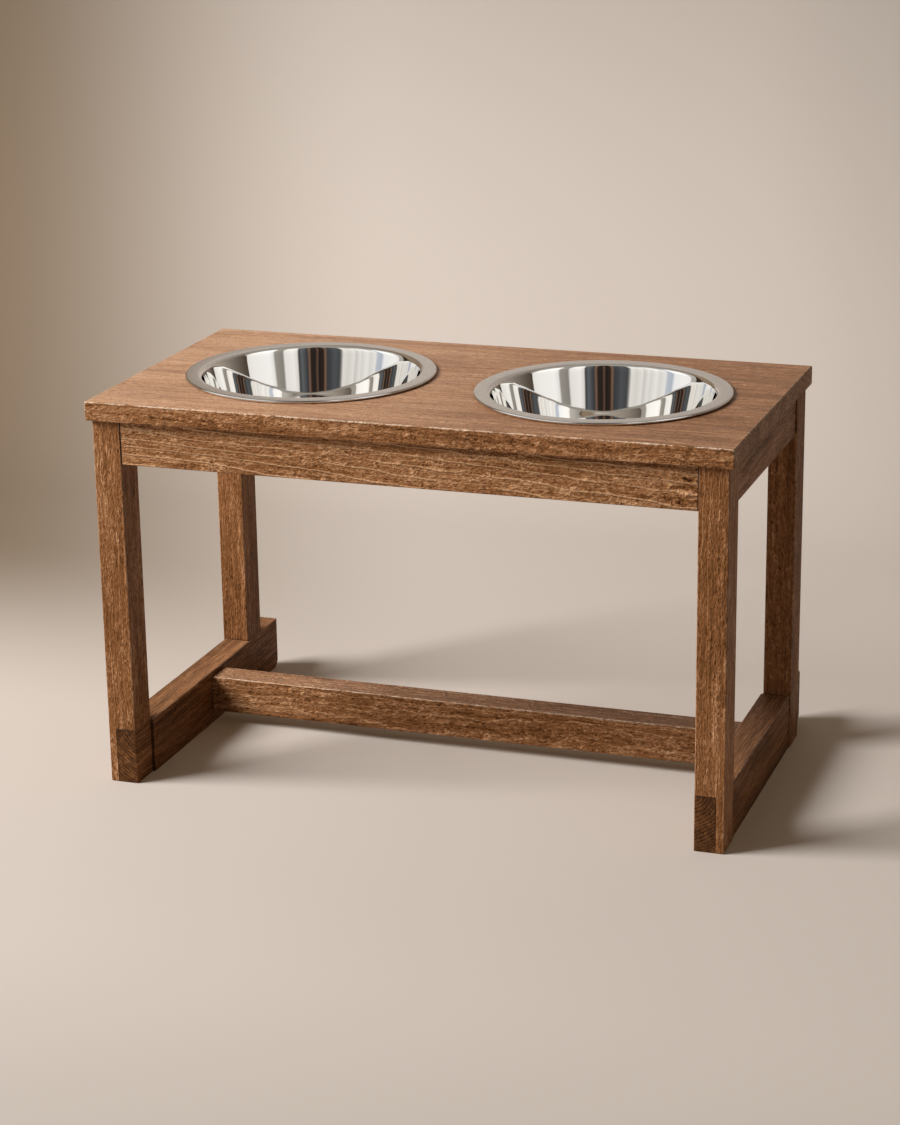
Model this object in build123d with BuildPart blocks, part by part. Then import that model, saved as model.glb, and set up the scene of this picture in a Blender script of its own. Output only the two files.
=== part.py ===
"""Elevated dog feeder: a low table of solid wood with two drop-in steel bowls.

Millimetres, +Z up, +X along the length, the front faces -Y.
The origin is on the floor, under the middle of the overall size.
"""

import os

from build123d import *

os.makedirs("parts", exist_ok=True)

# ---------------------------------------------------------------- driving sizes
# Top board
stand_height = 393.0  # floor to the upper face of the top board
top_length = 640.0
top_depth = 332.0
top_thickness = 19.0
top_overhang = 5.0  # board past the legs, all round

# Legs
leg_width = 29.0  # along the length of the stand
leg_depth = 36.0  # front to back

# Aprons
apron_height = 43.0
apron_thickness = 19.0
long_apron_recess = 0.8  # behind the legs' front and back faces
side_apron_recess = 2.0  # behind the legs' outer faces

# Foot rails, on the floor from front to back
foot_rail_height = 56.0
foot_rail_thickness = 30.0
foot_rail_recess = 1.5  # behind the legs' outer faces
lap_width = 21.0  # width of the lap that the legs sit on
tail_length = 45.0  # lap past the back legs
tail_chamfer = 8.0

# Stretcher between the foot rails
stretcher_height = 38.0
stretcher_thickness = 32.0
stretcher_lift = 13.0  # floor to its lower face
stretcher_setback = 37.0  # its middle behind the middle of the top

# Bowls
bowl_spacing = 302.0  # centre to centre
rim_diameter = 250.0
rim_flange = 16.0  # from the outside of the rolled edge to the line of the wall
bowl_depth = 70.0  # top of the rim to the underside of the base
bowl_base_diameter = 180.0
base_corner_radius = 22.0
mouth_radius = 5.0  # bend between the flange and the wall
steel = 1.0
rim_bead = 3.4  # height of the rolled edge
bead_sides = 8  # flats round the rolled edge

# Loose tenons that join the members
tenon_thickness = 8.0
tenon_length = 30.0  # half of it in each member
tenon_shoulder = 7.0  # wood left past the tenon's edges
tenon_chamfer = 1.0
mortise_wall = 6.0  # wood left in a leg between its two mortises

# Glued strips and screws that hold the top
cleat_size = 18.0
cleat_end_gap = 2.0
screw_length = 30.0
screw_shank = 4.0
screw_head = 8.0
screw_point = 5.0

# Clearances and edge work
bowl_hole_clearance = 1.6
rim_seat_gap = 0.2
tenon_clearance = 0.1  # on each face
tenon_end_gap = 0.5
screw_clearance = 0.1  # on the radius
screw_end_gap = 0.5
arris = 0.8  # eased edge of the legs, rails and aprons
top_arris = 1.0
lap_corner = 2.5

# ---------------------------------------------------------------- derived places
under_top = stand_height - top_thickness
overall_depth = top_depth - top_overhang + tail_length

y_board_front = -overall_depth / 2
y_middle = y_board_front + top_depth / 2
y_front = y_board_front + top_overhang  # front face of the front legs
y_back = y_front + top_depth - 2 * top_overhang  # back face of the back legs
x_outer = top_length / 2 - top_overhang
x_inner = x_outer - leg_width
x_leg = x_outer - leg_width / 2
y_leg = y_front + leg_depth / 2

x_lap_outer = x_inner + lap_width
x_lap = x_inner + lap_width / 2
x_rail_outer = x_outer - foot_rail_recess
x_rail_inner = x_rail_outer - foot_rail_thickness

z_apron = under_top - apron_height / 2
y_long_apron = y_front + long_apron_recess + apron_thickness / 2
x_side_apron = x_outer - side_apron_recess - apron_thickness / 2
y_apron_inner = y_long_apron + apron_thickness / 2

y_stretcher = y_middle + stretcher_setback
z_stretcher = stretcher_lift + stretcher_height / 2

y_cleat = y_apron_inner + cleat_size / 2

# Loose tenons and their mortises
apron_tenon_width = apron_height - 2 * tenon_shoulder
foot_tenon_width = leg_depth - 2 * tenon_shoulder
stretcher_tenon_width = stretcher_height - 2 * tenon_shoulder
mortise_thickness = tenon_thickness + 2 * tenon_clearance
apron_mortise_width = apron_tenon_width + 2 * tenon_clearance
foot_mortise_width = foot_tenon_width + 2 * tenon_clearance
stretcher_mortise_width = stretcher_tenon_width + 2 * tenon_clearance
mortise_depth = tenon_length / 2 + tenon_end_gap
long_mortise_far_side = long_apron_recess + apron_thickness / 2 + mortise_thickness / 2
side_mortise_in_leg = leg_depth - long_mortise_far_side - mortise_wall
side_tenon_in_leg = side_mortise_in_leg - tenon_end_gap

screw_hole = screw_shank / 2 + screw_clearance
countersink = screw_head / 2 + screw_clearance
screw_hole_depth = screw_length - cleat_size + screw_end_gap
screw_spread = 0.8 * x_inner
x_screws = (-screw_spread, 0, screw_spread)
y_screws = (y_cleat, 2 * y_middle - y_cleat)

front_to_back = Plane.XZ.offset(-y_middle)  # the stand's own middle plane

# Bowl section: radii and heights along the middle of the sheet
rim_radius = rim_diameter / 2
rim_bottom = stand_height + rim_seat_gap
rim_top = rim_bottom + rim_bead
bead_centre = rim_radius - rim_bead / 2
mouth = rim_radius - rim_flange
bowl_floor = rim_top - bowl_depth
bowl_x = bowl_spacing / 2
neck = mouth + steel  # outside of the wall where it passes the board
bowl_hole = neck + bowl_hole_clearance

# ---------------------------------------------------------------- top board
with BuildPart() as top_board:
    with BuildSketch(Plane.XY.offset(under_top)):
        with Locations((0, y_middle)):
            Rectangle(top_length, top_depth)
    extrude(amount=top_thickness)
    chamfer(top_board.edges(), length=top_arris)
    with BuildSketch(Plane.XY.offset(under_top)):
        with Locations((-bowl_x, y_middle), (bowl_x, y_middle)):
            Circle(bowl_hole)
    extrude(amount=top_thickness, mode=Mode.SUBTRACT)
    chamfer(top_board.edges().filter_by(GeomType.CIRCLE).group_by(SortBy.RADIUS)[-1], length=arris)
    for y_screw in y_screws:
        for x_screw in x_screws:
            with Locations(Plane((x_screw, y_screw, under_top), z_dir=(0, 0, -1))):
                Hole(screw_hole, depth=screw_hole_depth)
top_board.part.label = "top_board"

# ---------------------------------------------------------------- legs
with BuildPart() as front_right_leg:
    with BuildSketch():
        with Locations((x_leg, y_leg)):
            Rectangle(leg_width, leg_depth)
    extrude(amount=under_top)
    chamfer(front_right_leg.edges().filter_by(Axis.Z), length=arris)
    chamfer(front_right_leg.faces().sort_by(Axis.Z)[0].edges(), length=arris)
    # The notch that sits over the foot rail's lap
    with BuildSketch(Plane.XZ.offset(-y_leg)) as leg_notch:
        with Locations((x_lap_outer, foot_rail_height)):
            Rectangle(lap_width + leg_width, 2 * foot_rail_height, align=(Align.MAX, Align.MAX))
        fillet(leg_notch.vertices().group_by(Axis.Y)[-1].sort_by(Axis.X)[-1], radius=lap_corner)
    extrude(amount=leg_depth, both=True, mode=Mode.SUBTRACT)
    # Mortises for the long apron, the side apron and the foot rail
    with BuildSketch(Plane.YZ.offset(x_inner)):
        with Locations((y_long_apron, z_apron)):
            Rectangle(mortise_thickness, apron_mortise_width)
    extrude(amount=mortise_depth, mode=Mode.SUBTRACT)
    with BuildSketch(Plane.XZ.offset(-y_front - leg_depth)):
        with Locations((x_side_apron, z_apron)):
            Rectangle(mortise_thickness, apron_mortise_width)
    extrude(amount=side_mortise_in_leg, mode=Mode.SUBTRACT)
    with BuildSketch(Plane.XY.offset(foot_rail_height)):
        with Locations((x_lap, y_leg)):
            Rectangle(mortise_thickness, foot_mortise_width)
    extrude(amount=mortise_depth, mode=Mode.SUBTRACT)
front_right_leg.part.label = "front_right_leg"

with BuildPart() as back_right_leg:
    mirror(front_right_leg.part, about=front_to_back)
back_right_leg.part.label = "back_right_leg"

with BuildPart() as front_left_leg:
    mirror(front_right_leg.part, about=Plane.YZ)
front_left_leg.part.label = "front_left_leg"

with BuildPart() as back_left_leg:
    mirror(back_right_leg.part, about=Plane.YZ)
back_left_leg.part.label = "back_left_leg"

# ---------------------------------------------------------------- aprons
with BuildPart() as front_apron:
    with BuildSketch(Plane.XY.offset(under_top - apron_height)):
        with Locations((0, y_long_apron)):
            Rectangle(2 * x_inner, apron_thickness)
    extrude(amount=apron_height)
    chamfer(front_apron.edges(), length=arris)
    for end in (-1, 1):
        with BuildSketch(Plane.YZ.offset(end * x_inner)):
            with Locations((y_long_apron, z_apron)):
                Rectangle(mortise_thickness, apron_mortise_width)
        extrude(amount=-end * mortise_depth, mode=Mode.SUBTRACT)
front_apron.part.label = "front_apron"

with BuildPart() as back_apron:
    mirror(front_apron.part, about=front_to_back)
back_apron.part.label = "back_apron"

with BuildPart() as right_apron:
    with BuildSketch(Plane.XY.offset(under_top - apron_height)):
        with Locations((x_side_apron, y_middle)):
            Rectangle(apron_thickness, y_back - y_front - 2 * leg_depth)
    extrude(amount=apron_height)
    chamfer(right_apron.edges(), length=arris)
    for y_end, end in ((y_front + leg_depth, -1), (y_back - leg_depth, 1)):
        with BuildSketch(Plane.XZ.offset(-y_end)):
            with Locations((x_side_apron, z_apron)):
                Rectangle(mortise_thickness, apron_mortise_width)
        extrude(amount=end * mortise_depth, mode=Mode.SUBTRACT)
right_apron.part.label = "right_apron"

with BuildPart() as left_apron:
    mirror(right_apron.part, about=Plane.YZ)
left_apron.part.label = "left_apron"

# ---------------------------------------------------------------- foot rails
with BuildPart() as right_foot_rail:
    # The lap runs under both legs and out behind the back one.
    with BuildSketch(Plane.XZ.offset(-y_front)) as lap_section:
        with Locations((x_lap, 0)):
            Rectangle(lap_width, foot_rail_height, align=(Align.CENTER, Align.MIN))
        fillet(lap_section.vertices().group_by(Axis.Y)[-1].sort_by(Axis.X)[-1], radius=lap_corner)
    extrude(amount=-(y_back - y_front + tail_length))
    tail_end = right_foot_rail.faces().sort_by(Axis.Y)[-1]
    chamfer(tail_end.edges().sort_by(Axis.Z)[0], length=tail_chamfer)
    tail_end = right_foot_rail.faces().sort_by(Axis.Y)[-1]
    chamfer(tail_end.edges().sort_by(Axis.Z)[1:], length=arris)
    front_end = right_foot_rail.faces().sort_by(Axis.Y)[0]
    chamfer(front_end.edges().sort_by(Axis.X)[0], length=arris)
    front_end = right_foot_rail.faces().sort_by(Axis.Y)[0]
    chamfer(front_end.edges().sort_by(Axis.Z)[0], length=arris)
    # The body fills the space between the legs.
    with BuildSketch():
        with Locations((x_rail_outer, y_middle)):
            Rectangle(
                foot_rail_thickness,
                y_back - y_front - 2 * leg_depth,
                align=(Align.MAX, Align.CENTER),
            )
    extrude(amount=foot_rail_height)
    body_tops = right_foot_rail.edges().filter_by(Axis.Y).filter_by(
        lambda edge: abs(edge.center().Y - y_middle) < arris and edge.center().Z > arris
    )
    chamfer(body_tops, length=arris)
    # Mortises for the legs and the stretcher
    with BuildSketch(Plane.XY.offset(foot_rail_height)):
        with Locations((x_lap, y_leg), (x_lap, 2 * y_middle - y_leg)):
            Rectangle(mortise_thickness, foot_mortise_width)
    extrude(amount=-mortise_depth, mode=Mode.SUBTRACT)
    with BuildSketch(Plane.YZ.offset(x_rail_inner)):
        with Locations((y_stretcher, z_stretcher)):
            Rectangle(mortise_thickness, stretcher_mortise_width)
    extrude(amount=mortise_depth, mode=Mode.SUBTRACT)
right_foot_rail.part.label = "right_foot_rail"

with BuildPart() as left_foot_rail:
    mirror(right_foot_rail.part, about=Plane.YZ)
left_foot_rail.part.label = "left_foot_rail"

# ---------------------------------------------------------------- stretcher
with BuildPart() as stretcher:
    with BuildSketch(Plane.XY.offset(stretcher_lift)):
        with Locations((0, y_stretcher)):
            Rectangle(2 * x_rail_inner, stretcher_thickness)
    extrude(amount=stretcher_height)
    chamfer(stretcher.edges(), length=arris)
    for end in (-1, 1):
        with BuildSketch(Plane.YZ.offset(end * x_rail_inner)):
            with Locations((y_stretcher, z_stretcher)):
                Rectangle(mortise_thickness, stretcher_mortise_width)
        extrude(amount=-end * mortise_depth, mode=Mode.SUBTRACT)
stretcher.part.label = "stretcher"

# ---------------------------------------------------------------- bowls
with BuildPart() as right_bowl:
    with BuildSketch(Plane.XZ.offset(-y_middle)):
        with BuildLine():
            FilletPolyline(
                (bowl_x, bowl_floor + steel / 2),
                (bowl_x + bowl_base_diameter / 2, bowl_floor + steel / 2),
                (bowl_x + mouth + steel / 2, rim_top - steel / 2),
                (bowl_x + bead_centre, rim_top - steel / 2),
                radius=(base_corner_radius, mouth_radius),
            )
        trace(line_width=steel)
        # The edge is rolled around a wire.
        with Locations((bowl_x + bead_centre, rim_bottom + rim_bead / 2)):
            RegularPolygon(
                radius=rim_bead / 2,
                side_count=bead_sides,
                major_radius=False,
                rotation=180 / bead_sides,
            )
    revolve(axis=Axis((bowl_x, y_middle, 0), (0, 0, 1)), revolution_arc=360)
right_bowl.part.label = "right_bowl"

with BuildPart() as left_bowl:
    mirror(right_bowl.part, about=Plane.YZ)
left_bowl.part.label = "left_bowl"

# ---------------------------------------------------------------- cleats under the top
with BuildPart() as front_cleat:
    with BuildSketch(Plane.XY.offset(under_top - cleat_size)):
        with Locations((0, y_cleat)):
            Rectangle(2 * (x_inner - cleat_end_gap), cleat_size)
    extrude(amount=cleat_size)
    chamfer(front_cleat.edges().filter_by(Axis.X), length=arris)
    for x_screw in x_screws:
        with Locations(Plane((x_screw, y_cleat, under_top - cleat_size), z_dir=(0, 0, -1))):
            CounterSinkHole(screw_hole, countersink)
front_cleat.part.label = "front_cleat"

with BuildPart() as back_cleat:
    mirror(front_cleat.part, about=front_to_back)
back_cleat.part.label = "back_cleat"

# ---------------------------------------------------------------- loose tenons
with BuildPart() as front_apron_tenons:
    for end in (-1, 1):
        with BuildSketch(Plane.YZ.offset(end * x_inner)):
            with Locations((y_long_apron, z_apron)):
                Rectangle(tenon_thickness, apron_tenon_width)
        extrude(amount=tenon_length / 2, both=True)
    chamfer(front_apron_tenons.edges(), length=tenon_chamfer)
front_apron_tenons.part.label = "front_apron_tenons"

with BuildPart() as back_apron_tenons:
    mirror(front_apron_tenons.part, about=front_to_back)
back_apron_tenons.part.label = "back_apron_tenons"

with BuildPart() as right_apron_tenons:
    for y_end, end in ((y_front + leg_depth, -1), (y_back - leg_depth, 1)):
        y_tenon_end = y_end + end * side_tenon_in_leg
        with BuildSketch(Plane.XZ.offset(-y_tenon_end)):
            with Locations((x_side_apron, z_apron)):
                Rectangle(tenon_thickness, apron_tenon_width)
        extrude(amount=end * (side_tenon_in_leg + tenon_length / 2))
    chamfer(right_apron_tenons.edges(), length=tenon_chamfer)
right_apron_tenons.part.label = "right_apron_tenons"

with BuildPart() as left_apron_tenons:
    mirror(right_apron_tenons.part, about=Plane.YZ)
left_apron_tenons.part.label = "left_apron_tenons"

with BuildPart() as right_foot_tenons:
    with BuildSketch(Plane.XY.offset(foot_rail_height)):
        with Locations((x_lap, y_leg), (x_lap, 2 * y_middle - y_leg)):
            Rectangle(tenon_thickness, foot_tenon_width)
    extrude(amount=tenon_length / 2, both=True)
    chamfer(right_foot_tenons.edges(), length=tenon_chamfer)
right_foot_tenons.part.label = "right_foot_tenons"

with BuildPart() as left_foot_tenons:
    mirror(right_foot_tenons.part, about=Plane.YZ)
left_foot_tenons.part.label = "left_foot_tenons"

with BuildPart() as stretcher_tenons:
    for end in (-1, 1):
        with BuildSketch(Plane.YZ.offset(end * x_rail_inner)):
            with Locations((y_stretcher, z_stretcher)):
                Rectangle(tenon_thickness, stretcher_tenon_width)
        extrude(amount=tenon_length / 2, both=True)
    chamfer(stretcher_tenons.edges(), length=tenon_chamfer)
stretcher_tenons.part.label = "stretcher_tenons"

# ---------------------------------------------------------------- screws
with BuildPart() as wood_screw:
    # Head up at the origin, point down
    with BuildSketch(Plane.XZ):
        with BuildLine():
            Polyline(
                (0, 0),
                (screw_head / 2, 0),
                (screw_shank / 2, -(screw_head - screw_shank) / 2),
                (screw_shank / 2, -screw_length + screw_point),
                (0, -screw_length),
                close=True,
            )
        make_face()
    revolve(axis=Axis.Z, revolution_arc=360)

with BuildPart() as top_screws:
    for y_screw in y_screws:
        for x_screw in x_screws:
            with Locations(Plane((x_screw, y_screw, under_top - cleat_size), z_dir=(0, 0, -1))):
                add(wood_screw.part)
top_screws.part.label = "top_screws"

# ---------------------------------------------------------------- export
export_step(top_board.part, "parts/top_board.step")
export_step(front_left_leg.part, "parts/front_left_leg.step")
export_step(front_right_leg.part, "parts/front_right_leg.step")
export_step(back_left_leg.part, "parts/back_left_leg.step")
export_step(back_right_leg.part, "parts/back_right_leg.step")
export_step(front_apron.part, "parts/front_apron.step")
export_step(back_apron.part, "parts/back_apron.step")
export_step(left_apron.part, "parts/left_apron.step")
export_step(right_apron.part, "parts/right_apron.step")
export_step(left_foot_rail.part, "parts/left_foot_rail.step")
export_step(right_foot_rail.part, "parts/right_foot_rail.step")
export_step(stretcher.part, "parts/stretcher.step")
export_step(left_bowl.part, "parts/left_bowl.step")
export_step(right_bowl.part, "parts/right_bowl.step")
export_step(front_cleat.part, "parts/front_cleat.step")
export_step(back_cleat.part, "parts/back_cleat.step")
export_step(front_apron_tenons.part, "parts/front_apron_tenons.step")
export_step(back_apron_tenons.part, "parts/back_apron_tenons.step")
export_step(left_apron_tenons.part, "parts/left_apron_tenons.step")
export_step(right_apron_tenons.part, "parts/right_apron_tenons.step")
export_step(left_foot_tenons.part, "parts/left_foot_tenons.step")
export_step(right_foot_tenons.part, "parts/right_foot_tenons.step")
export_step(stretcher_tenons.part, "parts/stretcher_tenons.step")
export_step(top_screws.part, "parts/top_screws.step")
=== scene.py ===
"""Looks of an elevated dog feeder: brown-stained wood and two polished drop-in bowls.

Metres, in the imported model's frame: +X along the length, the front faces -Y, the floor is z = 0.
"""

import math

import bmesh
import bpy
from mathutils import Matrix, Vector


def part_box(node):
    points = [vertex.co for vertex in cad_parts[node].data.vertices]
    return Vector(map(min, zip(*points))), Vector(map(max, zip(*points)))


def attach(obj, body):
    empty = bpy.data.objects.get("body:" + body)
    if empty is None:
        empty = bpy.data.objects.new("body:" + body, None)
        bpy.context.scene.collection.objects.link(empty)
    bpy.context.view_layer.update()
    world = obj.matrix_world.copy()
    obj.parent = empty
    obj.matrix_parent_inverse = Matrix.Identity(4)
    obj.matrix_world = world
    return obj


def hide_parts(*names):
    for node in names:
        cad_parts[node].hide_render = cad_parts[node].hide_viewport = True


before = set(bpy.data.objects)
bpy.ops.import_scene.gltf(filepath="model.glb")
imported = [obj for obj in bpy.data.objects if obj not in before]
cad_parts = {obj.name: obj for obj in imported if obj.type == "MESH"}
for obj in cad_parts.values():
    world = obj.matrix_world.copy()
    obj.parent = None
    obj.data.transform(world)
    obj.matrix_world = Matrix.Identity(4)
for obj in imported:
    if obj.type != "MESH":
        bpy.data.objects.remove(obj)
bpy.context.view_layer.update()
MM = 0.001
TO_MM = 1000

# ---------------------------------------------------------------- camera
# Fitted to the photograph's vanishing lines, with no shift and no depth of field
CAMERA_PLACE = (0.8591, -2.4899, 1.0341)
CAMERA_YAW = math.radians(19.337)  # turned towards -X
CAMERA_PITCH = math.radians(17.508)  # looking down
CAMERA_ROLL = math.radians(-0.876)
CAMERA_LENS = 87.84  # mm
CAMERA_SENSOR = 36  # mm, the picture's long side


def make_camera():
    forward = Vector((
        -math.sin(CAMERA_YAW) * math.cos(CAMERA_PITCH),
        math.cos(CAMERA_YAW) * math.cos(CAMERA_PITCH),
        -math.sin(CAMERA_PITCH),
    ))
    level = Vector((math.cos(CAMERA_YAW), math.sin(CAMERA_YAW), 0))
    above = level.cross(forward)
    right = level * math.cos(CAMERA_ROLL) + above * math.sin(CAMERA_ROLL)
    up = above * math.cos(CAMERA_ROLL) - level * math.sin(CAMERA_ROLL)
    data = bpy.data.cameras.new("camera")
    data.sensor_width = CAMERA_SENSOR
    data.lens = CAMERA_LENS
    camera = bpy.data.objects.new("camera", data)
    turn = Matrix((right, up, -forward)).transposed().to_4x4()
    camera.matrix_world = Matrix.Translation(CAMERA_PLACE) @ turn
    bpy.context.scene.collection.objects.link(camera)
    bpy.context.scene.camera = camera


make_camera()


# ---------------------------------------------------------------- shader helpers
class Nodes:
    """Writes a node tree as expressions: every call adds a node and gives back its output."""

    def __init__(self, tree):
        self.tree = tree
        tree.nodes.clear()

    def put(self, socket, value):
        if isinstance(value, bpy.types.NodeSocket):
            self.tree.links.new(value, socket)
        else:
            socket.default_value = value

    def add(self, kind, *values, out=0, sockets=None, **settings):
        """values go into the first sockets, and None leaves one as it is; out=None gives back the node."""
        new = self.tree.nodes.new("ShaderNode" + kind)
        for key, value in settings.items():
            setattr(new, key, value)
        for key, value in [*enumerate(values), *(sockets or {}).items()]:
            if value is not None:
                self.put(new.inputs[key], value)
        return new.outputs[out] if out is not None else new

    def math(self, operation, a, b=None, c=None, clamp=False):
        return self.add("Math", a, b, c, operation=operation, use_clamp=clamp)

    def vector(self, operation, a, b=None, scale=None, out=0):
        return self.add("VectorMath", a, b, out=out, sockets={"Scale": scale}, operation=operation)

    def split(self, vector):
        return self.add("SeparateXYZ", vector, out=None).outputs

    def noise(self, place, detail, rough=0.5, out=0):
        sockets = {"Scale": 1.0, "Detail": detail, "Roughness": rough}
        return self.add("TexNoise", place, out=out, sockets=sockets)

    def grained(self, place, along, across, offset, detail, rough, *shown):
        """Noise drawn out along X; shown is what smooth takes after its value, if it is to fade in."""
        spot = self.vector("MULTIPLY", place, (along, across, across))
        if offset:
            spot = self.vector("ADD", spot, offset)
        field = self.noise(spot, detail, rough)
        return self.smooth(field, *shown) if shown else field

    def ramp(self, factor, *stops):
        new = self.add("ValToRGB", factor, out=None)
        elements = new.color_ramp.elements
        while len(elements) < len(stops):
            elements.new(1.0)
        for element, (place, colour) in zip(elements, stops):
            element.position = place
            if isinstance(colour, (int, float)):
                colour = (colour,) * 3
            element.color = (*colour, 1.0)
        return new.outputs[0]

    def smooth(self, value, low, high, to_low=0.0, to_high=1.0):
        sockets = {"From Min": low, "From Max": high, "To Min": to_low, "To Max": to_high}
        return self.add("MapRange", value, sockets=sockets, interpolation_type="SMOOTHSTEP")

    def mix(self, factor, a, b):
        return self.add("Mix", out=2, sockets={0: factor, 6: a, 7: b}, data_type="RGBA")

    def bump(self, height, distance):
        return self.add("Bump", sockets={"Strength": 1.0, "Distance": distance, "Height": height})

    def surface(self, **sockets):
        """The material's one shader; base_color stands for Base Color, and so on."""
        named = {key.replace("_", " ").title().replace("Ior", "IOR"): value for key, value in sockets.items()}
        self.add("OutputMaterial", self.add("BsdfPrincipled", sockets=named), out=None)


def new_material(name):
    material = bpy.data.materials.new(name)
    material.use_nodes = True
    return material, Nodes(material.node_tree)


def give(node, material):
    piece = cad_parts[node]
    piece.data.materials.clear()
    piece.data.materials.append(material)


# ---------------------------------------------------------------- stained wood
WOOD_DEEP = (0.030, 0.011, 0.005)
WOOD_DARK = (0.127, 0.050, 0.0155)
WOOD_MID = (0.278, 0.121, 0.048)
WOOD_PALE = (0.590, 0.335, 0.180)
WOOD_COLOURS = ((0.0, WOOD_DEEP), (0.3, WOOD_DARK), (0.58, WOOD_MID), (1.0, WOOD_PALE))
# Pale edges are partly wear and partly a painted highlight along the lit upper arrises
PALE_EDGE_AND_HIGHLIGHT = (0.950, 0.760, 0.600)
SHEEN_HAZE_COLOUR = (0.570, 0.400, 0.310)  # painted sheen: a pale haze on upper faces, in patches
END_DARK = (0.050, 0.030, 0.019)
# Dark lines where pieces meet: partly stain in the joint, partly painted shade in the gap
SEAM_STAIN_AND_SHADE = (0.020, 0.009, 0.004)

# How the fibres wander: cells per mm along and across the grain, and the reach in mm
BEND = (0.004, 0.016, 14)
WAVE = (0.032, 0.07, 4.5)
WRIGGLE = (0.16, 0.30, 3.0)

# The wood's noises: cells per mm along and across the grain, offset, detail, roughness, and for most
# the two values between which they fade in (and what they fade from and to, where it isn't 0 and 1)
FIGURE = {
    "uneven": (0.001, 0.02, None, 1, 0.5),
    "whole": (0.010, 0.05, (19, 3, 67), 2, 0.5, 0.34, 0.48),
    "curl": (0.085, 0.27, None, 1, 0.5),
    "broken": (0.07, 0.14, (7, 41, 3), 1, 0.5, 0.40, 0.56),
    "hair": (0.15, 0.44, (37, 5, 11), 1, 0.5),
    "patch": (0.02, 0.06, None, 3, 0.6, 0.36, 0.62, 0.40, 1.0),
    "streak": (0.022, 0.60, None, 4, 0.62, 0.30, 0.70),
    "band": (0.005, 0.16, (5, 23, 47), 2, 0.5),
    "grit": (0.20, 0.62, None, 2, 0.6),
    "dark": (0.075, 0.42, (3, 71, 9), 3, 0.6, 0.54, 0.72),
    "pit": (0.22, 0.62, (53, 2, 29), 1, 0.5, 0.61, 0.68),
    "mottle": (0.006, 0.03, (9, 9, 9), 2, 0.5),
    "pale_edges": (0.06, 0.3, None, 3, 0.7, 0.34, 0.66),
    "chipped": (0.28, 0.5, None, 2, 0.5, 0.36, 0.58, 0.45, 1.0),
    "haze_patches": (0.012, 0.12, None, 2, 0.5, 0.3, 0.7, 0.7, 1.3),
}
UNEVEN_REACH = 3.0  # growth rings
RING_PROFILE = ((0.0, 0.35), (0.12, 0.0), (0.62, 0.3), (0.9, 1.0), (1.0, 0.35))
LINE_WIDTH = 0.13  # of a growth ring, to each side
CURL_WIDTH, HAIR_WIDTH = 0.110, 0.120  # of the noise's value, to each side of the contour
HAIR_SHARE = 0.55

# What each adds to the tone, which runs from WOOD_DEEP (0) to WOOD_PALE (1), and to the height
PLAIN_TONE = 0.54
TONE = dict(
    streak=0.34, grit=0.55, ridge=0.42, line=0.50, dark=-0.30, pit=-0.22, ring=-0.36, knot=-0.42, end=-0.24)
HEIGHT = dict(streak=0.15, grit=1.6, raised=0.9, sunk=-0.4, ring=-0.15)
ROUGH_STREAK, ROUGH_BETWEEN = 0.42, 0.62  # roughness on the streaks and between them


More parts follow.
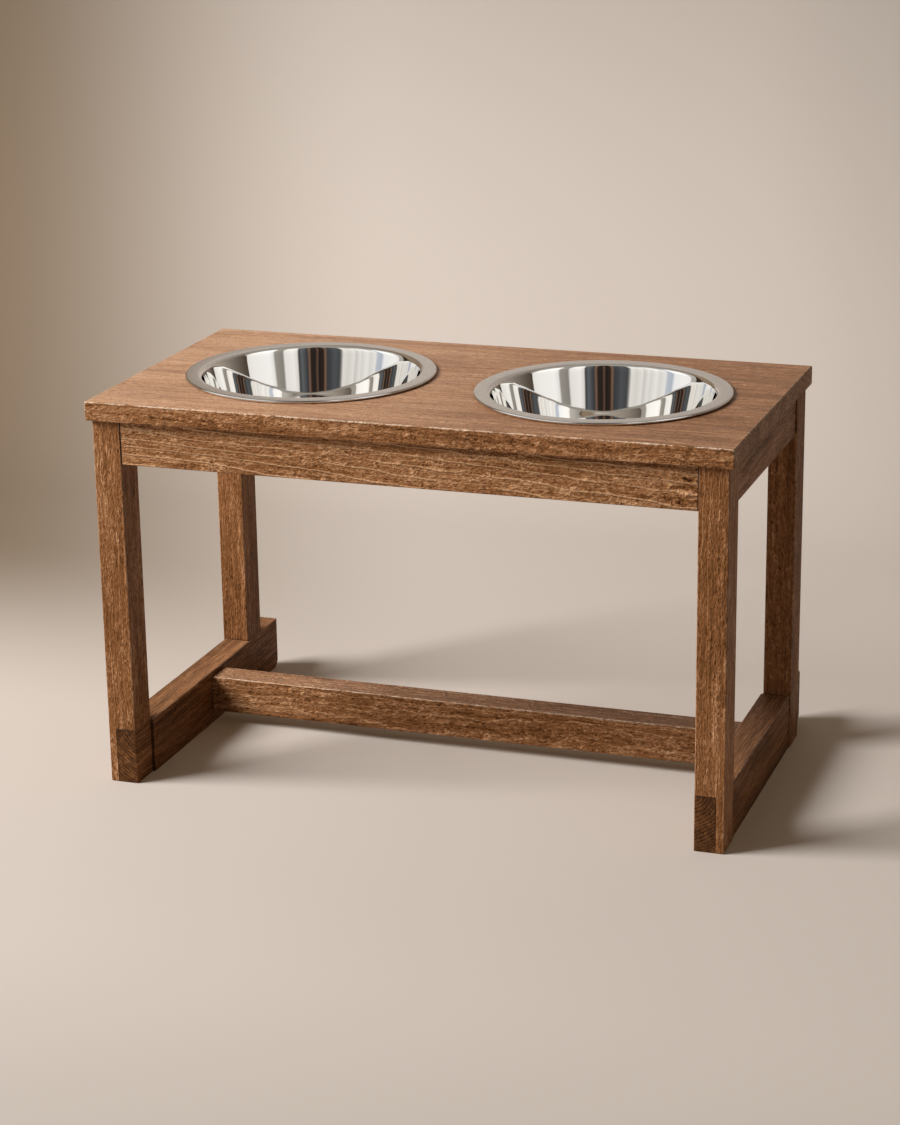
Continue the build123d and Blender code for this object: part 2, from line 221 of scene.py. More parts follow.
def wood_group():
    """Solid wood in millimetres, the grain along X, so that faces and end grain agree."""
    tree = bpy.data.node_groups.new("stained_wood", "ShaderNodeTree")
    for way, kind, names in (
        ("INPUT", "Vector", ("Place", "Pith")),
        ("INPUT", "Float", ("Ring Width", "Ring", "Fibre", "Ridge", "Pit", "Mottle", "Grit", "Line", "Shade",
                            "Knot", "End Grain", "Slope")),
        ("OUTPUT", "Color", ("Color",)),
        ("OUTPUT", "Float", ("Roughness", "Height")),
    ):
        for name in names:
            tree.interface.new_socket(name, in_out=way, socket_type="NodeSocket" + kind)
    n = Nodes(tree)
    given = tree.nodes.new("NodeGroupInput").outputs
    place = given["Place"]

    def wander(base, along, across, reach):
        field = n.noise(n.vector("MULTIPLY", place, (along, across, across)), 1, out="Color")
        field = n.vector("SUBTRACT", field, (0.5, 0.5, 0.5))
        return n.vector("ADD", base, n.vector("MULTIPLY", field, (0, reach, reach)))

    def centred(field):
        return n.math("SUBTRACT", field, 0.5)

    def contour(field, width):
        """A thin line where the field is one half."""
        return n.math("SUBTRACT", 1.0, n.smooth(n.math("ABSOLUTE", centred(field)), 0.0, width))

    def times(*values):
        product, *others = values
        for value in others:
            product = n.math("MULTIPLY", product, value)
        return product

    def total(start, *terms):
        for value, weight in terms:
            start = n.math("MULTIPLY_ADD", value, weight, start)
        return start

    # The fibres wander: slow bends, waves of a few centimetres and a small quick wriggle
    fibres = wander(wander(place, *BEND), *WAVE)
    wavy = wander(fibres, *WRIGGLE)

    # Growth rings round the pith, each with a thin pale line
    along = n.split(n.vector("SUBTRACT", place, given["Pith"]))[0]
    drop = n.add("CombineXYZ", 0.0, 0.0, times(along, given["Slope"]))
    from_pith = n.vector("SUBTRACT", n.vector("ADD", fibres, drop), given["Pith"])
    radius = n.vector("LENGTH", n.vector("MULTIPLY", from_pith, (0, 1, 1)), out="Value")
    rings = n.math("DIVIDE", radius, given["Ring Width"])
    phase = n.math("FRACT", total(rings, (n.grained(place, *FIGURE["uneven"]), UNEVEN_REACH)))
    ring = times(n.ramp(phase, *RING_PROFILE), n.math("ADD", given["Ring"], given["End Grain"]))
    line = times(contour(phase, LINE_WIDTH), n.grained(place, *FIGURE["whole"]), given["Line"])

    # Pale raised fibres, in patches
    curl = contour(n.grained(wavy, *FIGURE["curl"]), CURL_WIDTH)
    hair = contour(n.grained(wavy, *FIGURE["hair"]), HAIR_WIDTH)
    ridge = n.math("MAXIMUM", times(curl, n.grained(place, *FIGURE["broken"])), times(hair, HAIR_SHARE))
    ridge = times(ridge, n.grained(place, *FIGURE["patch"]), given["Ridge"])

    # Fine streaks, broad bands, grit, dark fibres, pits and mottling
    streak = n.grained(fibres, *FIGURE["streak"])
    band = centred(n.grained(fibres, *FIGURE["band"]))
    grit = times(centred(n.grained(wavy, *FIGURE["grit"])), given["Grit"])
    dark = times(n.grained(wavy, *FIGURE["dark"]), given["Fibre"])
    pit = times(n.grained(wavy, *FIGURE["pit"]), given["Pit"])
    mottle = centred(n.grained(place, *FIGURE["mottle"]))

    tone = total(
        n.math("ADD", given["Shade"], PLAIN_TONE),
        (times(centred(streak), given["Fibre"]), TONE["streak"]),
        (band, given["Mottle"]), (mottle, given["Mottle"]),
        (grit, TONE["grit"]), (ridge, TONE["ridge"]), (line, TONE["line"]),
        (dark, TONE["dark"]), (pit, TONE["pit"]), (ring, TONE["ring"]),
        (given["Knot"], TONE["knot"]), (given["End Grain"], TONE["end"]),
    )
    height = total(
        times(streak, HEIGHT["streak"]), (grit, HEIGHT["grit"]),
        (n.math("ADD", ridge, line), HEIGHT["raised"]), (n.math("ADD", pit, dark), HEIGHT["sunk"]),
        (ring, HEIGHT["ring"]),
    )
    result = tree.nodes.new("NodeGroupOutput").inputs
    n.put(result["Color"], n.ramp(tone, *WOOD_COLOURS))
    n.put(result["Roughness"], total(ROUGH_BETWEEN, (streak, ROUGH_STREAK - ROUGH_BETWEEN)))
    n.put(result["Height"], height)
    return tree


WOOD = wood_group()
AXES = {"X": (0, 1, 2), "Y": (1, 0, 2), "Z": (2, 0, 1)}  # the one along the grain, and the two across it
MEMBER_APART = (613.0, 177.0, 91.0)  # mm for each unit of the seed: every member is cut from its own place
ALONG_AXIS = (0.75, 0.95)  # of a face's normal, where a face begins to count as facing along an axis
UPWARD = (0.8, 0.95)
END_DEPTH = (3, 2)  # mm from a member's end: where its end grain begins, and where it is full
END_MIX = 0.55
KNOT_STRETCH = (0.6, 1, 1)  # knots are longer along the grain
KNOT_CORE, KNOT_REACH = 0.35, 3.2  # of the knot's radius: where it is darkest, and where it ends
KNOT_HALO = 0.25  # how dark the wood round it is
KNOT_PUSH = -0.75
PALE_EDGE_LEAST = 0.35  # of the pale edge's reach from an edge, where it reaches least
LOWER_EDGE_SHARE = 0.15  # the lower edges of what lies flat are hardly touched and lie in shade, so they get little of the pale edge
SHEEN_HAZE_LEAST = 0.35  # of the painted sheen haze, at the end of the upper face that gets least painted light
SEAM_REACH = (0.25, 0.95)  # mm to each side of a joint
SEAM_MIX, END_SEAM_MIX = 0.75, 0.9
COAT_ROUGHNESS = 0.3
WELD = 0.01  # mm
EASED = 0.3  # mm, rounding of every chamfer's own edges
EASE_ANGLE = math.radians(30)


def add_knots(n, in_wood, knots):
    """Pushes the fibres apart round each knot; gives back their new place, and how dark the knots are."""
    knotted = None
    for centre, size in knots:
        offset = n.vector("MULTIPLY", n.vector("SUBTRACT", in_wood, tuple(centre)), KNOT_STRETCH)
        distance = n.vector("LENGTH", offset, out="Value")
        near = n.math("SUBTRACT", 1.0, n.smooth(distance, 0.0, size * KNOT_REACH))
        core = n.math("SUBTRACT", 1.0, n.smooth(distance, size * KNOT_CORE, size))
        core = n.math("MAXIMUM", core, n.math("MULTIPLY", near, KNOT_HALO))
        knotted = core if knotted is None else n.math("MAXIMUM", knotted, core)
        push = n.vector("SCALE", offset, scale=n.math("MULTIPLY", near, KNOT_PUSH))
        in_wood = n.vector("ADD", in_wood, n.vector("MULTIPLY", push, (0, 1, 1)))
    return in_wood, knotted


def edge_wear_and_highlight(n, axes, low, high, in_wood, reach):
    """Patchy, chipped pale edges of the box from low to high, in mm: partly abrasion, partly a painted
    highlight.
    """
    away = []
    for axis in range(3):
        from_low = n.math("SUBTRACT", axes[axis], low[axis])
        from_high = n.math("SUBTRACT", high[axis], axes[axis])
        away.append(n.math("MINIMUM", from_low, from_high))
    # The middle one of the three distances to the faces is the distance to the nearest edge
    smaller = n.math("MINIMUM", away[0], away[1])
    larger = n.math("MAXIMUM", away[0], away[1])
    edge = n.math("MAXIMUM", smaller, n.math("MINIMUM", larger, away[2]))
    patchy = n.grained(in_wood, *FIGURE["pale_edges"], PALE_EDGE_LEAST * reach, reach)
    edge_paleness = n.math("SUBTRACT", 1.0, n.math("DIVIDE", edge, patchy), clamp=True)
    return n.math("MULTIPLY", edge_paleness, n.grained(in_wood, *FIGURE["chipped"]))


def draw_seam_stain_and_shade(n, colour, axes, share, axis, value, *limits):
    """Darkens a thin line at one coordinate, partly stain in a joint and partly painted shade; limits keep it
    to a stretch of another.
    """
    gap = n.math("ABSOLUTE", n.math("SUBTRACT", axes[axis], value))
    gap = n.math("SUBTRACT", 1.0, n.smooth(gap, *SEAM_REACH), clamp=True)
    if limits:
        other, start, end = limits
        inside = n.math("COMPARE", axes[other], (start + end) / 2, (end - start) / 2)
        gap = n.math("MULTIPLY", gap, inside)
    return n.mix(n.math("MULTIPLY", gap, share), colour, (*SEAM_STAIN_AND_SHADE, 1))


def ease_edges(piece):
    join = piece.modifiers.new("join", "WELD")
    join.merge_threshold = WELD * MM
    ease = piece.modifiers.new("ease", "BEVEL")
    ease.width = EASED * MM
    ease.segments = 2
    ease.limit_method = "ANGLE"
    ease.angle_limit = EASE_ANGLE
    ease.harden_normals = True


def wood(node, grain, seed, pith=(0, 30, -40), ring_width=4.0, ring=0.4, fibre=0.6, ridge=0.6, pit=0.5,
         mottle=0.6, grit=0.6, line=0.0, shade=0.0, side_painted_shade=0.04, relief=0.25, pale_edges=0.5, pale_edge_reach=1.6,
         coat=0.0, specular=0.06, smooth_top=0.0, lighter=0.0, sheen_haze=0.0, end=1.0, slope=0.0, knots=(),
         seams=(), end_seams=(), painted_light=None):
    """Gives a CAD node the stained wood, with the grain along one of its axes.

    side_painted_shade: painted shade on its faces across X, lighter where negative; end: how dark its two
    ends are;
    relief: the height of its figure, in mm; slope: how much its growth lines drop along the grain;
    smooth_top: how much finer use has made its upper face; sheen_haze: how much painted sheen haze that face
    has;
    painted_light: (axis, from mm, to mm, amount) paints a pool of light on that face, fading in along the
    axis, and lighter is what it starts with;
    knots: (x, y, z, radius) in mm; seams: (axis, mm[, axis, from mm, to mm]) dark lines where it meets
    another piece, partly stain in the joint and partly painted shade; end_seams: the same on its end grain
    alone.
    """
    material, n = new_material("wood_" + node)
    low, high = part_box(node)
    low, high = low * TO_MM, high * TO_MM
    middle = (low + high) / 2
    axes = n.split(n.vector("MULTIPLY", n.add("TexCoord", out="Object"), (TO_MM, TO_MM, TO_MM)))
    normal = n.split(n.add("TexCoord", out="Normal"))
    first, second, third = AXES[grain]
    shift = Vector([seed * step for step in MEMBER_APART])

    def into_wood(spot):
        spot = Vector(spot) - middle
        return Vector((spot[first], spot[second], spot[third])) + shift

    in_wood = n.add("CombineXYZ", axes[first], axes[second], axes[third])
    in_wood = n.vector("ADD", in_wood, tuple(into_wood((0, 0, 0))))
    in_wood, knotted = add_knots(n, in_wood, [(into_wood(knot[:3]), knot[3]) for knot in knots])
    from_end = n.math("ABSOLUTE", n.math("SUBTRACT", axes[first], middle[first]))
    from_end = n.math("SUBTRACT", high[first] - middle[first], from_end)
    end_grain = n.smooth(n.math("ABSOLUTE", normal[first]), *ALONG_AXIS)
    end_grain = n.math("MULTIPLY", end_grain, n.smooth(from_end, *END_DEPTH))
    upward = n.smooth(normal[2], *UPWARD)

    # Painted shade: faces across X are toned darker; a negative amount tones them lighter
    tone = n.math("SUBTRACT", shade, n.smooth(n.math("ABSOLUTE", normal[0]), *ALONG_AXIS, 0.0, side_painted_shade))
    # Painted light: a pool of light painted on the upper face, lighter towards one end
    if painted_light:
        axis, start, stop, amount = painted_light
        fade = n.smooth(axes[axis], start, stop)
        lift = n.math("MULTIPLY_ADD", fade, amount, lighter)
        tone = n.math("ADD", tone, n.math("MULTIPLY", upward, lift))
        sheen_haze = n.math("MULTIPLY", n.math("MULTIPLY_ADD", fade, 1 - SHEEN_HAZE_LEAST, SHEEN_HAZE_LEAST), sheen_haze)
    relief = relief * MM
    if smooth_top:
        rough_top = n.smooth(normal[2], *UPWARD, 1.0, 1.0 - smooth_top)
        fibre, ridge, grit, relief = (n.math("MULTIPLY", rough_top, v) for v in (fibre, ridge, grit, relief))
    group = n.add("Group", out=None, node_tree=WOOD, sockets={
        "Place": in_wood, "Pith": tuple(Vector(pith) + shift), "Ring Width": ring_width, "Ring": ring,
        "Fibre": fibre, "Ridge": ridge, "Pit": pit, "Mottle": mottle, "Grit": grit, "Line": line,
        "Shade": tone, "Knot": knotted, "End Grain": n.math("MULTIPLY", end_grain, end), "Slope": slope,
    }).outputs

    edge_paleness = n.math("MULTIPLY", edge_wear_and_highlight(n, axes, low, high, in_wood, pale_edge_reach), pale_edges)
    edge_paleness = n.math("MULTIPLY", edge_paleness, n.math("SUBTRACT", 1.0, end_grain))
    # Lower edges lie in shade and are hardly touched, so they get little of the pale edge
    if grain != "Z":
        edge_paleness = n.math("MULTIPLY", edge_paleness, n.smooth(axes[2], middle.z, middle.z + 1, LOWER_EDGE_SHARE, 1.0))
    # Painted sheen: a pale haze in patches on upper faces, fading with the painted light
    haze_patches = n.math("MULTIPLY", n.grained(in_wood, *FIGURE["haze_patches"]), sheen_haze)
    colour = n.mix(n.math("MULTIPLY", end_grain, END_MIX * end), group["Color"], (*END_DARK, 1))
    colour = n.mix(n.math("MULTIPLY", upward, haze_patches), colour, (*SHEEN_HAZE_COLOUR, 1))
    colour = n.mix(edge_paleness, colour, (*PALE_EDGE_AND_HIGHLIGHT, 1))
    for seam in seams:
        colour = draw_seam_stain_and_shade(n, colour, axes, SEAM_MIX, *seam)
    for seam in end_seams:
        colour = draw_seam_stain_and_shade(n, colour, axes, n.math("MULTIPLY", end_grain, END_SEAM_MIX), *seam)

    n.surface(
        base_color=colour, roughness=group["Roughness"], normal=n.bump(group["Height"], relief),
        coat_weight=n.math("MULTIPLY", upward, coat) if coat else 0.0, coat_roughness=COAT_ROUGHNESS,
        specular_ior_level=specular)
    give(node, material)
    ease_edges(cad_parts[node])


def side_at(node, axis, side):
    """Where a CAD node's box begins (side 0) or ends (side 1) along an axis, in mm."""
    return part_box(node)[side][axis] * TO_MM


# Where the pieces meet
LAP_WIDTH = 21  # mm, of the lap that each foot rail has under a leg
under_top = side_at("top_board", 2, 0)
board_end = side_at("top_board", 0, 1)
apron_bottom = side_at("front_apron", 2, 0)
leg_inside = side_at("front_right_leg", 0, 0)
lap_outside = leg_inside + LAP_WIDTH
lap_top = side_at("right_foot_rail", 2, 1)
rail_steps = (
    side_at("front_right_leg", 1, 1), side_at("back_right_leg", 1, 0), side_at("back_right_leg", 1, 1))
stretcher_end = side_at("stretcher", 0, 1)
front_half = (1, side_at("right_foot_rail", 1, 0) - 1, 0)

APRON_SEAMS = ((0, -leg_inside), (0, leg_inside), (2, under_top))
LEG_SEAMS = (
    (2, under_top), (2, lap_top, 0, -lap_outside, lap_outside),
    (0, -leg_inside, 2, apron_bottom, under_top), (0, leg_inside, 2, apron_bottom, under_top),
)
FRONT_FACE = dict(fibre=0.62, ridge=0.95, mottle=0.4, pit=1.0, grit=0.9, relief=1.1)
LEG = dict(
    pith=(0, 30, -60), ring_width=5.0, ring=0.15, line=0.25, shade=-0.075, fibre=0.45, ridge=0.8, mottle=0.4,
    pit=0.6, grit=0.8, relief=0.9, side_painted_shade=0.03, pale_edges=0.3, seams=LEG_SEAMS)
RAIL = dict(
    ring_width=3.2, ring=0.4, fibre=0.6, ridge=0.3, grit=0.4, line=0.3, shade=-0.13, side_painted_shade=0.03,
    sheen_haze=0.05, pale_edges=0.3, end=0.35, seams=tuple((1, step) for step in rail_steps))
# The top's upper face has a painted pool of light towards -X and painted sheen; its ends across X are painted
# lighter
wood("top_board", "X", 1.3, pith=(0, 60, -220), ring_width=7.0, ring=0.3, fibre=0.7, ridge=0.95, pit=0.9,
     mottle=0.5, grit=0.95, relief=1.0, pale_edges=1.0, pale_edge_reach=1.9, coat=0.14, specular=0.10, shade=-0.02,
     side_painted_shade=-0.14, smooth_top=0.42, sheen_haze=0.25, lighter=-0.01, end=0.15,
     painted_light=(0, board_end, -board_end, 0.22))
wood("front_apron", "X", 2.1, pith=(0, -30, -150), ring_width=9.0, ring=0.2, line=1.5, slope=0.05, shade=0.04,
     knots=((272, -180, 348, 3.2), (267, -180, 338, 2.6), (277, -180, 360, 2.4)), seams=APRON_SEAMS,
     **FRONT_FACE)
wood("back_apron", "X", 3.7, pith=(0, 80, 20), ring_width=9.0, ring=0.4, line=0.6, seams=APRON_SEAMS,
     **FRONT_FACE)
for side, seed, pith in (("left", 4.2, (0, 70, 12)), ("right", 5.6, (0, 90, -10))):
    wood(side + "_apron", "Y", seed, pith=pith, ring_width=6.0, ring=0.3, fibre=0.6, pale_edges=0.3,
         seams=((2, under_top),))
wood("front_left_leg", "Z", 6.4, **LEG)
# Its faces across X are painted lighter
wood("front_right_leg", "Z", 7.9, **{**LEG, "side_painted_shade": -0.10, "ridge": 0.65})
wood("back_left_leg", "Z", 8.3, **{**LEG, "ridge": 0.4, "fibre": 0.5}, knots=((-300, 105, 300, 6),))
wood("back_right_leg", "Z", 9.1, **LEG)
for side, seed, pith, lap in (
        ("left", 10.5, (0, 38, 42), -lap_outside), ("right", 11.2, (0, -34, 40), lap_outside)):
    wood(side + "_foot_rail", "Y", seed, pith=pith, **RAIL,
         end_seams=((0, lap, *front_half), (2, lap_top, *front_half)))
wood("stretcher", "X", 12.8, pith=(0, 40, -30), ring_width=5.0, ring=0.3, line=0.4, shade=-0.03, sheen_haze=0.15,
     pale_edges=1.0, pale_edge_reach=1.7, seams=((0, -stretcher_end), (0, stretcher_end)), **FRONT_FACE)
for strip, seed in (("front_cleat", 13.1), ("back_cleat", 14.6)):
    wood(strip, "X", seed, pith=(0, 20, 30), ring=0.4, fibre=0.4, ridge=0.3, shade=0.3, pale_edges=0.0)

# ---------------------------------------------------------------- small hidden pieces
TENON_WOOD = (0.55, 0.38, 0.22)
TENON_SHADE = 0.8
TENON_GRAIN = (900, 900, 900)  # cells per metre
ZINC = (0.62, 0.60, 0.55)


def plain_wood(name, colour):
    material, n = new_material(name)
    fine = n.noise(n.vector("MULTIPLY", n.add("TexCoord", out="Object"), TENON_GRAIN), 3, 0.6)
    shade = [part * TENON_SHADE for part in colour]
    n.surface(base_color=n.mix(n.smooth(fine, 0.3, 0.7), (*colour, 1), (*shade, 1)), roughness=0.6)
    return material


def zinc_plate():
    material, n = new_material("zinc_screw")
    n.surface(base_color=(*ZINC, 1), metallic=1.0, roughness=0.38)
    return material


tenon_wood = plain_wood("tenon_wood", TENON_WOOD)
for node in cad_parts:
    if node.endswith("_tenons"):
        give(node, tenon_wood)
give("top_screws", zinc_plate())

# ---------------------------------------------------------------- bowls
# The sheet's section, as the CAD bowls have it, but with a wider base and a round bead at the rim
RIM_BEAD = 3.4 * MM
RIM_FLANGE = 16.0 * MM
STEEL = 1.0 * MM
MOUTH_RADIUS = 5.0 * MM
BASE_CORNER = 22.0 * MM
BASE_RADIUS = 93.2 * MM
BOWL_SIDES = 480
CORNER_STEPS, WALL_STEPS, MOUTH_STEPS, BEAD_STEPS = 16, 12, 8, 28
SATIN_STEPS = 4  # of the mouth's bend, which belong to the satin flange
SMEARS = (60, 60, 14)  # cells per metre
RIPPLES = (34, 34, 9)


def corner(before, point, after, radius, steps):
    """Points of the arc that rounds a corner of the section."""
    a, b = (before - point).normalized(), (after - point).normalized()
    half = a.angle(b) / 2
    centre = point + (a + b).normalized() * radius / math.sin(half)
    start = point + a * radius / math.tan(half) - centre
    end = point + b * radius / math.tan(half) - centre
    swing = start.angle_signed(end)
    arc = []
    for i in range(steps + 1):
        turn = Matrix.Rotation(-swing * i / steps, 2)
        arc.append(centre + turn @ start)
    return arc


def bowl_section(rim, floor, top):
    """Three lines of points: the inside and the underside, both from their middles, and the rim's bead."""
    spine = [
        Vector((0, floor + STEEL / 2)),
        Vector((BASE_RADIUS, floor + STEEL / 2)),
        Vector((rim - RIM_FLANGE + STEEL / 2, top - STEEL / 2)),
        Vector((rim - RIM_BEAD / 2, top - STEEL / 2)),
    ]
    inner, outer = [Vector((0, floor + STEEL))], [Vector((0, floor))]
    for side, out in ((1, inner), (-1, outer)):
        # Inside, the base corner's radius is smaller and the mouth's is larger
        shifted = []
        for i, point in enumerate(spine):
            before = (point - spine[i - 1]).normalized() if i else None
            after = (spine[i + 1] - point).normalized() if i < len(spine) - 1 else None
            normals = [Vector((-d.y, d.x)) for d in (before, after) if d is not None]
            if len(normals) == 2:
                blend = (normals[0] + normals[1]).normalized()
                shifted.append(point + blend * side * STEEL / 2 / blend.dot(normals[0]))
            else:
                shifted.append(point + normals[0] * side * STEEL / 2)
        out += corner(*shifted[:3], BASE_CORNER - side * STEEL / 2, CORNER_STEPS)
        straight = out[-1]
        bend = corner(*shifted[1:], MOUTH_RADIUS + side * STEEL / 2, MOUTH_STEPS)
        out += [straight.lerp(bend[0], i / WALL_STEPS) for i in range(1, WALL_STEPS)] + bend
    bead_centre = Vector((rim - RIM_BEAD / 2, top - RIM_BEAD / 2))
    meet = math.degrees(math.asin((RIM_BEAD / 2 - STEEL) / (RIM_BEAD / 2)))
    bead = []
    for i in range(BEAD_STEPS + 1):
        angle = math.radians(90 - (270 - meet) * i / BEAD_STEPS)
        bead.append(bead_centre + Vector((math.cos(angle), math.sin(angle))) * RIM_BEAD / 2)
    return inner, bead, outer


def make_object(name, mesh, *materials):
    """A smooth-shaded object from a bmesh, which is used up."""
    for face in mesh.faces:
        face.smooth = True
    data = bpy.data.meshes.new(name)
    mesh.to_mesh(data)
    mesh.free()
    for material in materials:
        data.materials.append(material)
    made = bpy.data.objects.new(name, data)
    bpy.context.scene.collection.objects.link(made)
    return made


def make_bowl(side, polished, satin):
    node = side + "_bowl"
    low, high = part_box(node)
    centre = (low + high) / 2
    rim = (high.x - low.x) / 2
    inner, bead, outer = bowl_section(rim, low.z, high.z)
    section = inner + bead + outer[:0:-1]
    mirror_until = len(inner) - 2 - SATIN_STEPS
    mesh = bmesh.new()
    bottom_in = mesh.verts.new((centre.x, centre.y, inner[0].y))
    bottom_out = mesh.verts.new((centre.x, centre.y, outer[0].y))
    rings = []
    for point in section[1:]:
        ring = []
        for i in range(BOWL_SIDES):
            angle = 2 * math.pi * i / BOWL_SIDES
            ring.append(mesh.verts.new((
                centre.x + point.x * math.cos(angle), centre.y + point.x * math.sin(angle), point.y)))
        rings.append(ring)
    for i in range(BOWL_SIDES):
        j = (i + 1) % BOWL_SIDES
        mesh.faces.new((bottom_in, rings[0][i], rings[0][j]))
        for k in range(len(rings) - 1):
            face = mesh.faces.new((rings[k][i], rings[k + 1][i], rings[k + 1][j], rings[k][j]))
            face.material_index = 0 if k < mirror_until else 1
        face = mesh.faces.new((bottom_out, rings[-1][j], rings[-1][i]))
        face.material_index = 1
    bmesh.ops.recalc_face_normals(mesh, faces=mesh.faces)
    piece = make_object(node + "_shell", mesh, polished, satin)
    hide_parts(node)
    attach(piece, node)
    return piece


def steel(name, tint, rough, ripple):
    """Spun steel; ripple is the height of its unevenness, in mm."""
    material, n = new_material(name)
    place = n.add("TexCoord", out="Object")
    smear = n.noise(n.vector("MULTIPLY", place, SMEARS), 3, 0.6)
    wavy = n.noise(n.vector("MULTIPLY", place, RIPPLES), 1)
    n.surface(
        base_color=(*tint, 1), metallic=1.0, roughness=n.smooth(smear, 0.3, 0.75, rough, rough * 1.25),
        normal=n.bump(wavy, ripple * MM))
    return material


polished = steel("steel_polished", (0.92, 0.91, 0.89), 0.02, 0.20)
satin = steel("steel_satin", (0.74, 0.745, 0.75), 0.17, 0.0)
bowls = [make_bowl(side, polished, satin) for side in ("left", "right")]

# ---------------------------------------------------------------- studio
SWEEP_FLOOR_END = 0.75
SWEEP_RADIUS = 0.7
SWEEP_STEPS = 24
WALL_TOP = 4.0
PAPER_REACH = 16.0
BACKDROP = (0.512, 0.466, 0.430)
# Painted shade, where the paper is made darker: from and to in metres, and how much of its colour it keeps
# there
WALL_FADE = (0.0, 0.9, 1.0, 0.80)
RIGHT_FADE = (0.58, 0.85, 1.0, 0.90)
FRONT_FADE = (-0.50, -1.0, 1.0, 0.82)
ASIDE_SLOPE = 0.46  # of the lines on which the fades to the left and right lie
CORNER_PAINTED_SHADE = (0.33, 0.275, 0.21)  # painted shade on the wall's far left end
CORNER_ASIDE = (0.08, -0.66)
CORNER_BACK = (-0.05, 0.55)

KEY_PLACE = Vector((-3.34, -1.81, 3.05))
KEY_TARGET = Vector((0, 0, 0.2))
KEY_SIZE = 2.1
KEY_POWER = 390
KEY_COLOUR = (1.0, 0.98, 0.95)
BOARD_SHADOW = 0.12  # how much of the board's own shadow reaches the floor
TOP = ("top_board", "front_apron", "back_apron", "left_apron", "right_apron", "front_cleat", "back_cleat")
FILL_TILT = math.radians(45)
FILL_POWER = 0.25
FILL_COLOUR = (1.0, 0.62, 0.25)


def paper_material():
    """One-sided paper: from behind, the wall doesn't hide the object."""
    material, n = new_material("studio_paper")
    x, y, z = n.split(n.add("TexCoord", out="Object"))
    aside = n.math("ADD", x, n.math("MULTIPLY", y, ASIDE_SLOPE))
    # Painted shade: the paper darkens up the wall, to the right, towards the front and at the far left of the
    # wall
    paleness = n.math("MULTIPLY", n.smooth(z, *WALL_FADE), n.smooth(aside, *RIGHT_FADE))
    paleness = n.math("MULTIPLY", paleness, n.smooth(y, *FRONT_FADE))
    left = n.math("MULTIPLY", n.smooth(aside, *CORNER_ASIDE), n.smooth(y, *CORNER_BACK))
    tint = n.vector("SCALE", n.mix(left, (1, 1, 1, 1), (*CORNER_PAINTED_SHADE, 1)), scale=paleness)
    shader = n.add("BsdfPrincipled", sockets={
        "Base Color": n.vector("MULTIPLY", tint, BACKDROP), "Roughness": 0.9, "Specular IOR Level": 0.2})
    behind = n.add("NewGeometry", out="Backfacing")
    n.add("OutputMaterial", n.add("MixShader", behind, shader, n.add("BsdfTransparent")), out=None)
    return material


def make_paper(name, material, profile):
    """A strip of the studio's paper across X, along a profile of (y, z) points."""
    mesh = bmesh.new()
    rows = [[mesh.verts.new((x, y, z)) for y, z in profile] for x in (-PAPER_REACH, PAPER_REACH)]
    for k in range(len(profile) - 1):
        mesh.faces.new((rows[0][k], rows[1][k], rows[1][k + 1], rows[0][k + 1]))
    paper = make_object(name, mesh, material)
    return paper


def sweep_profile():
    """A plain pale floor that curves up into the wall behind."""
    profile = [(-PAPER_REACH, 0.0), (SWEEP_FLOOR_END, 0.0)]
    for i in range(1, SWEEP_STEPS + 1):
        angle = math.radians(90 * i / SWEEP_STEPS)
        back, rise = SWEEP_RADIUS * math.sin(angle), SWEEP_RADIUS * (1 - math.cos(angle))
        profile.append((SWEEP_FLOOR_END + back, rise))
    return [*profile, (SWEEP_FLOOR_END + SWEEP_RADIUS, WALL_TOP)]


def light_group(name, pieces, state):
    """A collection for a light's links: INCLUDE means only these pieces, EXCLUDE all the others."""
    group = bpy.data.collections.new(name)
    for piece in pieces:
        group.objects.link(piece)
    for entry in group.collection_objects:
        entry.light_linking.link_state = state
    return group


def make_light(name, kind, power, colour, lights):
    """A light for the pieces of one group; the steel reflects the room instead of it."""
    data = bpy.data.lights.new(name, kind)
    data.energy = power
    data.color = colour
    light = bpy.data.objects.new(name, data)
    light.visible_glossy = False
    bpy.context.scene.collection.objects.link(light)
    light.light_linking.receiver_collection = lights
    return light


def softbox(name, power, lights, passes=None):
    """The large soft key: once for the object, and twice for the paper, with and without the top's shadow."""
    light = make_light(name, "AREA", power, KEY_COLOUR, lights)
    light.data.size = KEY_SIZE
    light.location = KEY_PLACE
    light.rotation_mode = "QUATERNION"
    light.rotation_quaternion = (KEY_TARGET - KEY_PLACE).to_track_quat("-Z", "Y")
    if passes:
        light.light_linking.blocker_collection = passes


def warm_fill(lights):
    """The wood's warm bounce on the paper, which keeps its shadows brown; it casts no shadow itself."""
    light = make_light("warm_fill", "SUN", FILL_POWER, FILL_COLOUR, lights)
    light.data.use_shadow = False
    light.rotation_euler = (FILL_TILT, 0, 0)


paper_look = paper_material()
paper = [
    make_paper("studio_sweep", paper_look, sweep_profile()),
    make_paper("studio_floor", paper_look, [(SWEEP_FLOOR_END, 0.0), (PAPER_REACH, 0.0)]),
]
softbox("key", KEY_POWER, light_group("not_paper", paper, "EXCLUDE"))
softbox("key_paper", KEY_POWER * BOARD_SHADOW, light_group("paper", paper, "INCLUDE"))
softbox("key_paper_soft", KEY_POWER * (1 - BOARD_SHADOW), light_group("paper_again", paper, "INCLUDE"),
        light_group("not_top", [*bowls, *(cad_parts[node] for node in TOP)], "EXCLUDE"))
warm_fill(light_group("paper_fill", paper, "INCLUDE"))

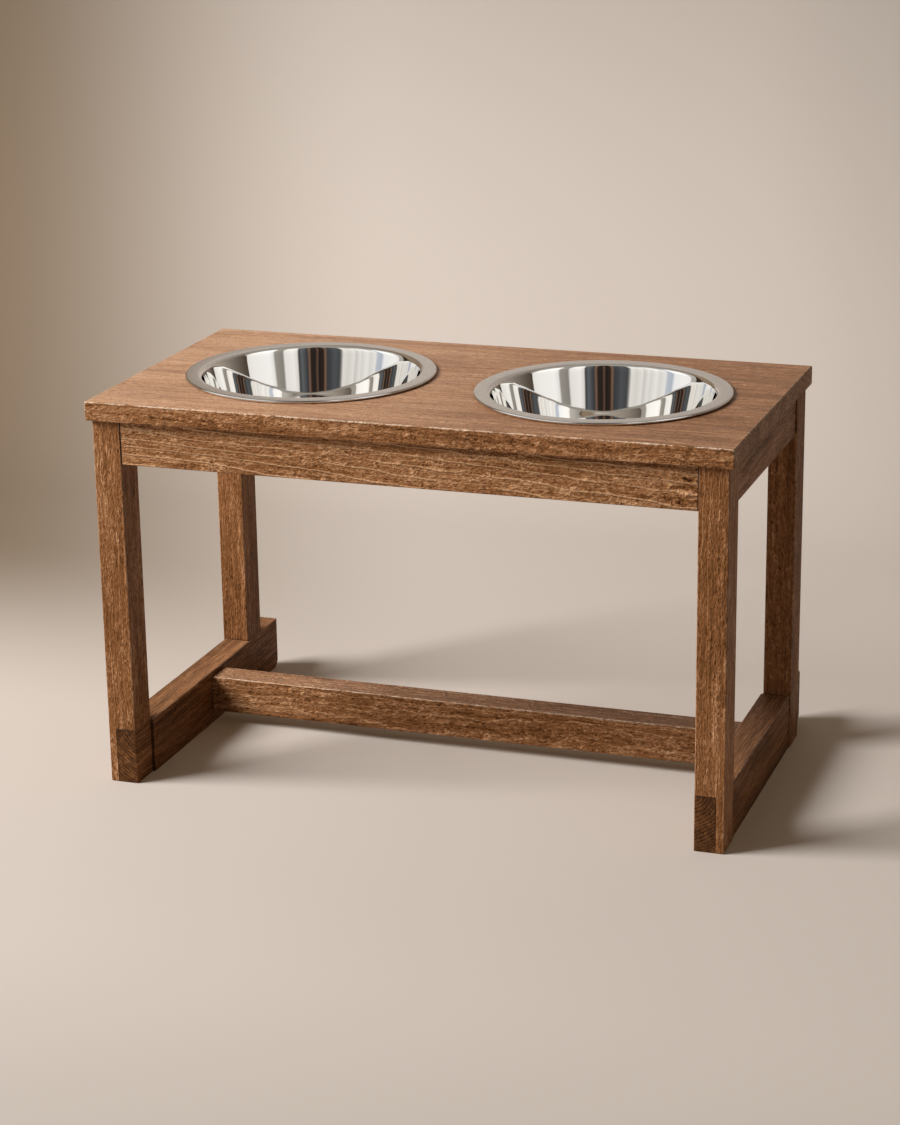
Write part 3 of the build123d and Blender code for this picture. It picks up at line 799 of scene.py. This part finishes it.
# ---------------------------------------------------------------- room
# What the steel reflects, turning from the front (-Y, 0 degrees) towards the right (+X, 90):
# azimuth, colour, and the elevation where that stretch of wall or window ends under the ceiling
ROOM = (
    (-110, (0.30, 0.28, 0.26), 44),
    (-98, (0.46, 0.44, 0.40), 44),
    (-88, (0.50, 0.47, 0.43), 44),
    (-86, (1.05, 1.02, 0.98), 42),
    (-77, (1.10, 1.08, 1.05), 50),
    (-64, (1.00, 1.00, 1.00), 48),
    (-61, (0.52, 0.57, 0.66), 42),
    (-55, (0.60, 0.64, 0.70), 42),
    (-53, (0.96, 0.94, 0.91), 46),
    (-46, (0.84, 0.81, 0.77), 52),
    (-42, (0.98, 0.96, 0.93), 52),
    (-36, (0.82, 0.79, 0.75), 52),
    (-33, (0.92, 0.90, 0.87), 50),
    (-28, (0.72, 0.68, 0.63), 46),
    (-26, (0.92, 0.89, 0.85), 46),
    (-20, (0.80, 0.76, 0.71), 52),
    (-14, (0.88, 0.85, 0.80), 48),
    (-12, (0.30, 0.29, 0.27), 44),
    (-10, (0.07, 0.072, 0.075), 50),
    (-4, (0.09, 0.098, 0.105), 54),
    (0, (0.06, 0.064, 0.068), 52),
    (4, (0.05, 0.052, 0.055), 50),
    (6, (0.22, 0.125, 0.08), 56),
    (8, (0.035, 0.022, 0.016), 60),
    (13, (0.02, 0.014, 0.012), 62),
    (15, (0.13, 0.075, 0.05), 62),
    (17, (0.025, 0.018, 0.015), 60),
    (22, (0.03, 0.02, 0.016), 56),
    (24, (0.21, 0.125, 0.085), 50),
    (26, (0.045, 0.045, 0.048), 52),
    (32, (0.13, 0.135, 0.145), 52),
    (35.5, (0.05, 0.05, 0.05), 46),
    (37, (0.82, 0.79, 0.74), 42),
    (41, (1.00, 0.97, 0.93), 52),
    (51, (0.92, 0.89, 0.85), 50),
    (53, (0.28, 0.26, 0.23), 44),
    (62, (0.36, 0.33, 0.29), 44),
    (64, (0.94, 0.92, 0.89), 42),
    (69, (1.10, 1.08, 1.05), 53),
    (88, (1.04, 1.01, 0.97), 52),
    (95, (0.96, 0.93, 0.89), 42),
    (97, (0.38, 0.35, 0.31), 42),
    (110, (0.32, 0.29, 0.26), 42),
)
ROOM_REACH = 110  # degrees to each side
WALL_LIFT = (0.17, 0.40, 0.87, 1.08)  # the walls are lighter higher up
SOFT_TOP = 0.03  # how softly the walls pass into the ceiling
CEILING = (0.34, 0.31, 0.27)
SOFT_LIGHT = (1.0, 0.84, 0.65)
SOFT_POWER = 0.10
FAR_BACKGROUND = (0.62, 0.54, 0.47)


def room_side(n, turn, start):
    """One side's stretch of the room: its colour, and the sine of the elevation where it ends."""
    stops = [stop for stop in ROOM if start * ROOM_REACH <= stop[0] <= (start + 1) * ROOM_REACH]
    new = n.add("ValToRGB", n.math("SUBTRACT", turn, start), out=None)
    elements = new.color_ramp.elements
    while len(elements) < len(stops):
        elements.new(1.0)
    for element, (azimuth, colour, top) in zip(elements, stops):
        element.position = azimuth / ROOM_REACH - start
        element.color = (*colour, math.sin(math.radians(top)))
    return new.outputs


def make_room():
    """The steel reflects walls and a ceiling; all else gets a weak even light, and the far view is plain."""
    world = bpy.data.worlds.new("studio_room")
    bpy.context.scene.world = world
    world.use_nodes = True
    n = Nodes(world.node_tree)
    x, y, z = n.split(n.add("TexCoord", out="Generated"))
    turn = n.math("DIVIDE", n.math("ARCTAN2", x, n.math("MULTIPLY", y, -1.0)), math.radians(ROOM_REACH))
    left_side, right_side = room_side(n, turn, -1), room_side(n, turn, 0)
    to_right = n.math("GREATER_THAN", turn, 0.0)
    walls = n.mix(to_right, left_side["Color"], right_side["Color"])
    walls = n.vector("SCALE", walls, scale=n.smooth(z, *WALL_LIFT))
    tops = n.smooth(to_right, 0.0, 1.0, left_side["Alpha"], right_side["Alpha"])
    overhead = n.smooth(n.math("SUBTRACT", z, tops), -SOFT_TOP, SOFT_TOP)
    seen = n.add("Background", n.mix(overhead, walls, (*CEILING, 1)), 1.0)
    soft = n.add("Background", (*SOFT_LIGHT, 1), SOFT_POWER)
    far = n.add("Background", (*FAR_BACKGROUND, 1), 1.0)
    path = n.add("LightPath", out=None).outputs
    lit = n.add("MixShader", path["Is Camera Ray"], soft, far)
    n.add("OutputWorld", n.add("MixShader", path["Is Glossy Ray"], lit, seen), out=None)


make_room()
bpy.context.scene.view_settings.view_transform = "Standard"
